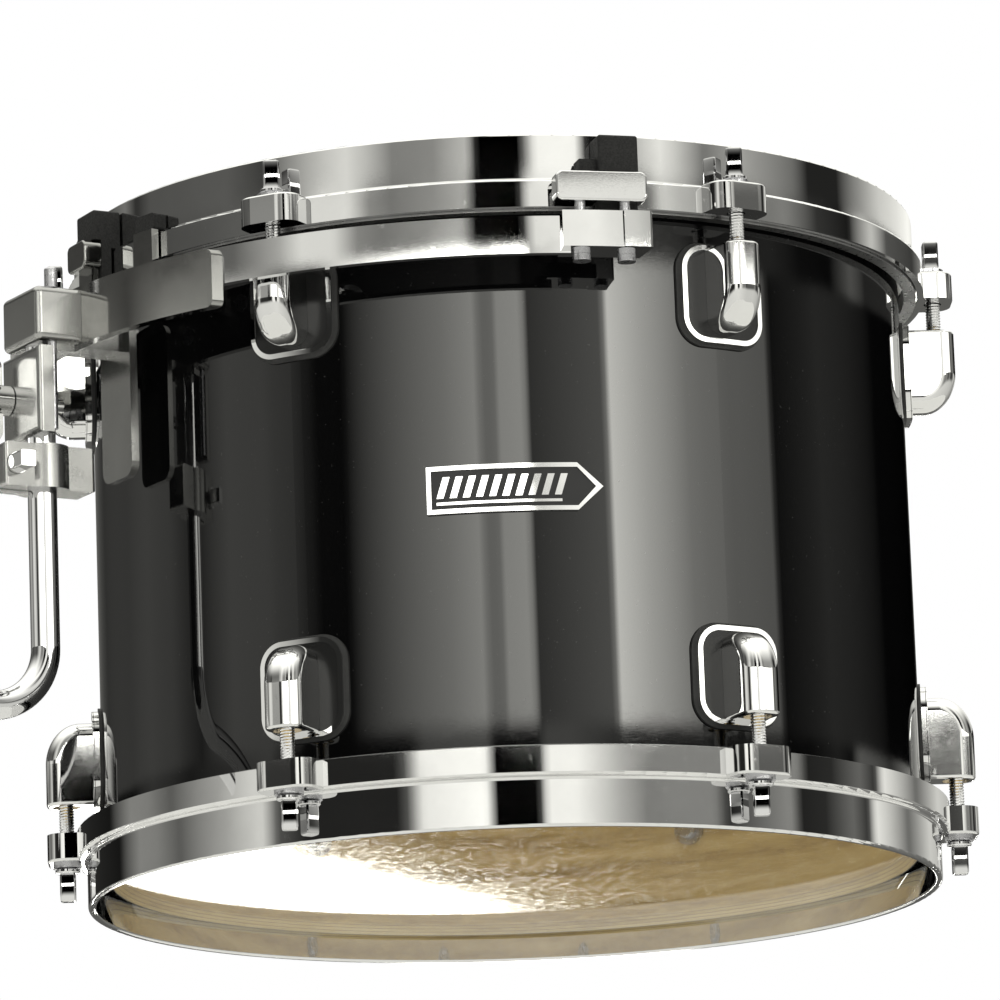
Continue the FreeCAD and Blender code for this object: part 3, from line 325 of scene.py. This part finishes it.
def maple_material():
    """Maple veneer inside, with stacked plies showing on the cut edges."""
    material, graph, shader = new_material("maple_plies")
    x, y, z = graph.object_point()
    radius = graph.axis_distance(x, y)
    turn = graph.math("ARCTAN2", x, y)
    unrolled = graph.add("ShaderNodeCombineXYZ")
    graph.link(graph.math("MULTIPLY", turn, 0.02), unrolled.inputs[0])
    graph.link(z, unrolled.inputs[1])
    graph.link(radius, unrolled.inputs[2])
    warp = graph.noise(unrolled.outputs[0], 60.0, 3.0, 0.5)
    grain = graph.noise(unrolled.outputs[0], 420.0, 5.0, 0.65, 0.6)
    band = graph.math("MULTIPLY_ADD", warp, 0.02, z)
    rings = graph.math("SINE", graph.math("MULTIPLY", band, 420.0))
    figure = graph.math("MULTIPLY_ADD", rings, 0.16, grain)
    colour = graph.ramp(figure, [
        (0.22, (0.50, 0.34, 0.10)), (0.45, (0.68, 0.50, 0.17)),
        (0.62, (0.77, 0.58, 0.22)), (0.85, (0.85, 0.68, 0.32)),
    ])
    ply = graph.math("FRACT", graph.math("MULTIPLY", radius, 1.0 / PLY_THICKNESS))
    glue = graph.span(graph.math("ABSOLUTE", graph.math("SUBTRACT", ply, 0.5)), 0.40, 0.48)
    upright = graph.split(graph.add("ShaderNodeNewGeometry").outputs["Normal"])[2]
    edge = graph.span(graph.math("ABSOLUTE", upright), 0.3, 0.6)
    colour = graph.mix(graph.math("MULTIPLY", glue, edge), colour, (0.26, 0.13, 0.05))
    graph.link(colour, shader.inputs["Base Color"])
    graph.link(graph.span(grain, 0.3, 0.7, 0.32, 0.5), shader.inputs["Roughness"])
    graph.link(graph.bump(grain, 0.12, 0.0003), shader.inputs["Normal"])
    return material


def film_material(name, gloss_share):
    """Clear polyester: most light passes, the rest is mirror-like sheen and faint haze."""
    material = bpy.data.materials.new(name)
    material.use_nodes = True
    graph = Graph(material.node_tree)
    output = graph.add("ShaderNodeOutputMaterial")
    where = graph.place()
    clear = graph.add("ShaderNodeBsdfTransparent")
    clear.inputs[0].default_value = (0.98, 0.98, 0.975, 1.0)
    gloss = graph.add("ShaderNodeBsdfGlossy")
    ripple = graph.noise(where, 14.0, 2.0, 0.5)
    scuffs = graph.noise(where, 320.0, 4.0, 0.6)
    graph.link(graph.span(scuffs, 0.4, 0.75, 0.02, 0.07), gloss.inputs["Roughness"])
    graph.link(graph.bump(ripple, 0.05, 0.0005), gloss.inputs["Normal"])
    haze = graph.add("ShaderNodeBsdfDiffuse")
    haze.inputs[0].default_value = (0.85, 0.86, 0.87, 1.0)
    sheen = graph.add("ShaderNodeFresnel")
    sheen.inputs["IOR"].default_value = FILM_IOR
    body = graph.add("ShaderNodeMixShader")
    graph.link(graph.span(scuffs, 0.3, 0.8, 0.004, 0.016), body.inputs[0])
    graph.link(clear.outputs[0], body.inputs[1])
    graph.link(haze.outputs[0], body.inputs[2])
    surface = graph.add("ShaderNodeMixShader")
    graph.link(graph.math("MULTIPLY", sheen.outputs[0], gloss_share), surface.inputs[0])
    graph.link(body.outputs[0], surface.inputs[1])
    graph.link(gloss.outputs[0], surface.inputs[2])
    graph.link(surface.outputs[0], output.inputs[0])
    return material


gloss_black = wrap_material()
maple = maple_material()
film = film_material("clear_film", LOWER_FILM_SHEEN)
played_film = film_material("played_film", UPPER_FILM_SHEEN)

by_slot = {
    "gloss_black_wrap": gloss_black,
    "maple": maple,
    "clear_film": film,
    "aluminium": aluminium,
    "gasket_black": gasket,
    "grip_rubber": rubber,
    "brass": brass,
    "steel": steel,
    "chrome": chrome,
    "chrome_rod": chrome_rod,
    "chrome_vent": chrome_rod,
    "badge_metal": badge_metal,
}
by_node = {
    "bracket_body": satin_chrome,
    "clamp_cap": satin_chrome,
    "memory_lock": satin_chrome,
    "mount_stem": satin_chrome,
    # the mount centre plate takes the chrome darkened as painted shade
    "mount_center_plate": shade_darkened_plate,
    "head_film_batter": played_film,
}
slot_of = {entry["node"]: entry["material_slot"] for entry in frame["record"]["subparts"]}
for name, node in nodes.items():
    chosen = by_node.get(name, by_slot[slot_of[name]])
    if name.startswith(("lug_batter_", "lug_resonant_")):
        chosen = chrome_lug
    for slot in node.material_slots:
        slot.material = chosen


# ---------------------------------------------------------------- tension rods with real threads
def add_ring(mesh, reach_at, height):
    """Closed row of points at one height; reach_at gives the distance from the axis at an angle."""
    ring = []
    for step in range(ROD_SEGMENTS):
        angle = 2 * math.pi * step / ROD_SEGMENTS
        reach = reach_at(angle)
        ring.append(mesh.verts.new((reach * math.cos(angle), reach * math.sin(angle), height)))
    return ring


def thread_reach(height):
    """Distance from the axis to the helical thread, which fades in at both of its ends."""
    fade = min(1.0, height / THREAD_PITCH, (COLLAR_START - THREAD_END_GAP - height) / THREAD_PITCH)
    depth = THREAD_DEPTH * max(0.0, fade)
    taper = ROD_TIP_TAPER * max(0.0, 1 - height / ROD_TIP_LENGTH)

    def reach_at(angle):
        phase = (height / THREAD_PITCH - angle / (2 * math.pi)) % 1.0
        groove = abs(phase - 0.5) * 2
        return ROD_R - depth * groove - taper

    return reach_at


def key_reach(share):
    """Distance from the axis to the square key head with its corners cut round."""

    def reach_at(angle):
        square = KEY_HALF_WIDTH / max(abs(math.cos(angle)), abs(math.sin(angle)))
        return min(square, KEY_CORNER_REACH) * share

    return reach_at


def threaded_rod(name, base, points_down, length):
    """Rod from its threaded end at base to the top of its key head."""
    mesh = bmesh.new()
    collar_end = COLLAR_START + COLLAR_LENGTH
    rings = []
    height = 0
    while height < COLLAR_START:
        rings.append(add_ring(mesh, thread_reach(height), height))
        height += THREAD_PITCH / ROWS_PER_TURN
    rings.append(add_ring(mesh, thread_reach(COLLAR_START), COLLAR_START))
    collar = (
        (4.15, COLLAR_START), (4.55, COLLAR_START + 0.35 * MM), (4.55, collar_end - 0.45 * MM),
        (4.1, collar_end - 0.05 * MM), (3.2, collar_end),
    )
    for radius, height in collar:
        rings.append(add_ring(mesh, lambda angle: radius * MM, height))
    key_head = (
        (0.93, collar_end), (1.0, collar_end + 0.7 * MM), (1.0, length - 0.9 * MM),
        (0.95, length - 0.35 * MM), (0.78, length),
    )
    for share, height in key_head:
        rings.append(add_ring(mesh, key_reach(share), height))
    for lower, upper in zip(rings, rings[1:]):
        for here in range(ROD_SEGMENTS):
            following = (here + 1) % ROD_SEGMENTS
            mesh.faces.new((lower[here], lower[following], upper[following], upper[here]))
    mesh.faces.new(list(reversed(rings[0])))
    mesh.faces.new(rings[-1])
    for face in mesh.faces:
        face.smooth = True
    data = bpy.data.meshes.new(name)
    mesh.to_mesh(data)
    mesh.free()
    data.materials.append(chrome_rod)
    data.set_sharp_from_angle(angle=SHARP_ANGLE)
    piece = bpy.data.objects.new(name, data)
    scene.collection.objects.link(piece)
    flip = Matrix.Rotation(math.pi, 4, "X") if points_down else Matrix.Identity(4)
    piece.matrix_world = Matrix.Translation(base) @ flip
    return piece


for name in sorted(nodes):
    if not name.startswith("tension_rod_"):
        continue
    low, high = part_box(name)
    upper = "batter" in name
    middle = (low + high) / 2
    base = Vector((middle.x, middle.y, low.z if upper else high.z))
    rod = threaded_rod(name + "_detail", base, not upper, high.z - low.z)
    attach(rod, name.replace("tension_rod_", "rod_"))
    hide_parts(name)


# ---------------------------------------------------------------- floor and light
def stage_floor():
    """Plain pale disc under the drum."""
    mesh = bmesh.new()
    bmesh.ops.create_circle(mesh, cap_ends=True, segments=96, radius=FLOOR_RADIUS)
    data = bpy.data.meshes.new("studio_floor")
    mesh.to_mesh(data)
    mesh.free()
    floor = bpy.data.objects.new("studio_floor", data)
    scene.collection.objects.link(floor)
    floor.location = (0, 0, FLOOR_HEIGHT)
    material, graph, shader = new_material("pale_floor")
    where = graph.place()
    tone = graph.noise(where, 3.0, 3.0, 0.5)
    graph.link(graph.mix(tone, (0.80, 0.80, 0.79), (0.84, 0.84, 0.83)), shader.inputs["Base Color"])
    shader.inputs["Roughness"].default_value = 0.7
    data.materials.append(material)


stage_floor()


def azimuth_ramp(graph, turn, stops):
    """Radiance around the horizon from (azimuth in degrees, value) stops; 0 is the front."""
    peak = max(value for _, value in stops)
    scaled = [((azimuth + 180.0) / 360.0, value / peak) for azimuth, value in stops]
    colour = graph.ramp(turn, scaled)
    return graph.math("MULTIPLY", colour, peak)


def strip_mask(graph, x, y, z, height):
    """Long low strip light behind the drum, slanted; it makes the glare in the lower head."""
    slope = graph.math("DIVIDE", z, y)
    sideways = graph.math("DIVIDE", x, y)
    slanted = graph.math("SUBTRACT", graph.math("MULTIPLY_ADD", slope, -3.33, sideways), 0.537)
    strip = graph.span(graph.math("ABSOLUTE", slanted), 0.014, 0.024, 1.0, 0.0)
    behind = graph.math("GREATER_THAN", y, 0.5)
    below = graph.math("LESS_THAN", height, -6.0)
    return graph.math("MULTIPLY", strip, graph.math("MULTIPLY", behind, below))


def studio_world():
    """Light panels at four heights around the room; the camera itself sees plain white."""
    world = bpy.data.worlds.new("studio")
    world.use_nodes = True
    scene.world = world
    graph = Graph(world.node_tree)
    output = graph.add("ShaderNodeOutputWorld")
    x, y, z = graph.split(graph.add("ShaderNodeTexCoord").outputs["Generated"])
    around = graph.math("ARCTAN2", x, graph.math("MULTIPLY", y, -1.0))
    turn = graph.math("MULTIPLY_ADD", around, 1 / (2 * math.pi), 0.5)
    height = graph.math("DEGREES", graph.math("ARCSINE", z))
    # panels look lower toward the back of the room, so heights are brought to one front scale
    leaning = graph.math("COSINE", graph.math("MULTIPLY", around, 0.5))
    height = graph.math("MULTIPLY", height, graph.math("MULTIPLY_ADD", leaning, -0.0674, 1.0674))
    # each panel band: (azimuth in degrees, brightness) around the room, from the floor line up.
    # These stops are not a designed light. A script worked out brightness from the tones of the
    # reference picture, and more than half of them are its figures, rounded.
    floor_line = azimuth_ramp(graph, turn, [
        (-180, 0.1), (-170, 0.03), (-133, 0.01), (-121, 0.27), (-112, 0.25), (-102, 0.12), (-84, 0.43),
        (-72, 0.8), (-67, 0.1), (-58, 0.02), (-32, 0.02), (-29, 0.12), (-25, 1.05), (-8.7, 1.3),
        (-6, 0.0), (5.5, 0.0), (7.7, 1.15), (15, 1.15), (27, 0.52), (34, 0.25), (53, 0.27), (57, 0.04),
        (64, 0.13), (77, 0.3), (81, 0.02), (90, 0.03), (101, 0.16), (108, 0.03), (112, 0.95),
        (130, 0.17), (148, 0.7), (180, 0.3),
    ])
    room = azimuth_ramp(graph, turn, [
        (-180, 0.2), (-155, 0.08), (-133, 0.22), (-121, 0.42), (-109, 0.46), (-97, 0.16),
        (-84, 0.85), (-71, 0.85), (-61, 0.45), (-54, 0.03), (-45.5, 0.02), (-41, 0.6), (-29, 2.0),
        (-17, 3.4), (-8, 5.0), (-6.5, 2.7), (-3, 2.7), (-1.5, 5.0), (5.2, 5.6), (6.6, 0.6),
        (27.9, 1.6), (29.2, 11.8), (39, 7.6), (52, 3.5), (64, 2.1), (79, 1.5), (80.5, 0.06),
        (100, 0.25), (119, 0.08), (131, 0.0), (165, 0.0), (180, 0.2),
    ])
    side_wall = azimuth_ramp(graph, turn, [
        (-180, 0.3), (-152, 0.48), (-133, 0.2), (-127, 0.05), (-84, 0.1), (-66, 0.14), (-54, 0.45),
        (-48, 0.88), (-40, 0.88), (-34, 0.3), (-28, 0.22), (-17, 0.33), (-9, 0.5), (-6, 0.0),
        (5.5, 0.0), (8, 0.95), (22, 1.1), (33, 0.72), (37, 0.15), (40, 0.15), (44, 0.74), (52, 0.48),
        (58, 0.08), (70, 0.19), (82, 0.26), (94, 0.04), (108, 0.01), (119, 0.65), (128, 0.1),
        (149, 0.05), (160, 0.2), (180, 0.1),
    ])
    high_wall = azimuth_ramp(graph, turn, [
        (-180, 0.08), (-155, 0.25), (-138, 0.01), (-121, 0.2), (-115, 0.03), (-108, 0.1), (-78, 0.12),
        (-66, 0.06), (-54, 0.45), (-41, 0.87), (-35, 0.63), (-28, 0.27), (-17, 0.3), (-8, 0.6),
        (-5.5, 0.0), (6.5, 0.0), (8.5, 0.5), (10.5, 1.2), (21, 1.2), (24, 0.01), (35, 0.01), (37, 0.6),
        (45, 0.97), (58, 0.22), (70, 0.45), (88, 0.2), (94, 0.02), (107, 0.02), (131, 0.73),
        (160, 1.1), (173, 0.8), (180, 0.3),
    ])
    value = floor_line
    for panel, lower_edge in ((room, 10.46), (side_wall, 14.38), (high_wall, 15.08)):
        value = graph.blend(value, panel, graph.span(height, lower_edge, lower_edge + PANEL_EDGE))
    value = graph.blend(value, CEILING_LIGHT, graph.span(height, 22.0, 55.0))
    floor_light = azimuth_ramp(graph, turn, [
        (-180, 0.1), (-140, 0.3), (-100, 0.8), (0, 0.9), (100, 0.6), (140, 0.25), (180, 0.1),
    ])
    value = graph.blend(value, floor_light, graph.span(height, 4.0, -3.0))
    value = graph.blend(value, STRIP_LIGHT, strip_mask(graph, x, y, z, height))
    tinted = graph.mix(1.0, value, WARM_WHITE, "MULTIPLY")
    light = graph.add("ShaderNodeBackground")
    graph.link(tinted, light.inputs["Color"])
    plain = graph.add("ShaderNodeBackground")
    plain.inputs["Color"].default_value = (1.0, 1.0, 1.0, 1.0)
    switch = graph.add("ShaderNodeMixShader")
    graph.link(graph.add("ShaderNodeLightPath").outputs["Is Camera Ray"], switch.inputs[0])
    graph.link(light.outputs[0], switch.inputs[1])
    graph.link(plain.outputs[0], switch.inputs[2])
    graph.link(switch.outputs[0], output.inputs[0])


studio_world()


# ---------------------------------------------------------------- camera
def place_camera():
    """Camera below the drum, looking slightly up; heading, pitch and roll are in radians."""
    data = bpy.data.cameras.new("photo_view")
    data.sensor_width = 36.0
    data.lens = CAMERA_LENS
    data.clip_start = 0.05
    data.clip_end = 50.0
    data.dof.use_dof = False
    camera = bpy.data.objects.new("photo_view", data)
    scene.collection.objects.link(camera)
    right = Vector((math.cos(CAMERA_HEADING), math.sin(CAMERA_HEADING), 0))
    level = Vector((-math.sin(CAMERA_HEADING), math.cos(CAMERA_HEADING), 0))
    rise = Vector((0, 0, 1))
    ahead = level * math.cos(CAMERA_PITCH) + rise * math.sin(CAMERA_PITCH)
    up = rise * math.cos(CAMERA_PITCH) - level * math.sin(CAMERA_PITCH)
    rolled_right = right * math.cos(CAMERA_ROLL) + up * math.sin(CAMERA_ROLL)
    rolled_up = up * math.cos(CAMERA_ROLL) - right * math.sin(CAMERA_ROLL)
    turn = Matrix((rolled_right, rolled_up, -ahead)).transposed().to_4x4()
    camera.matrix_world = Matrix.Translation(CAMERA_PLACE) @ turn
    scene.camera = camera


place_camera()
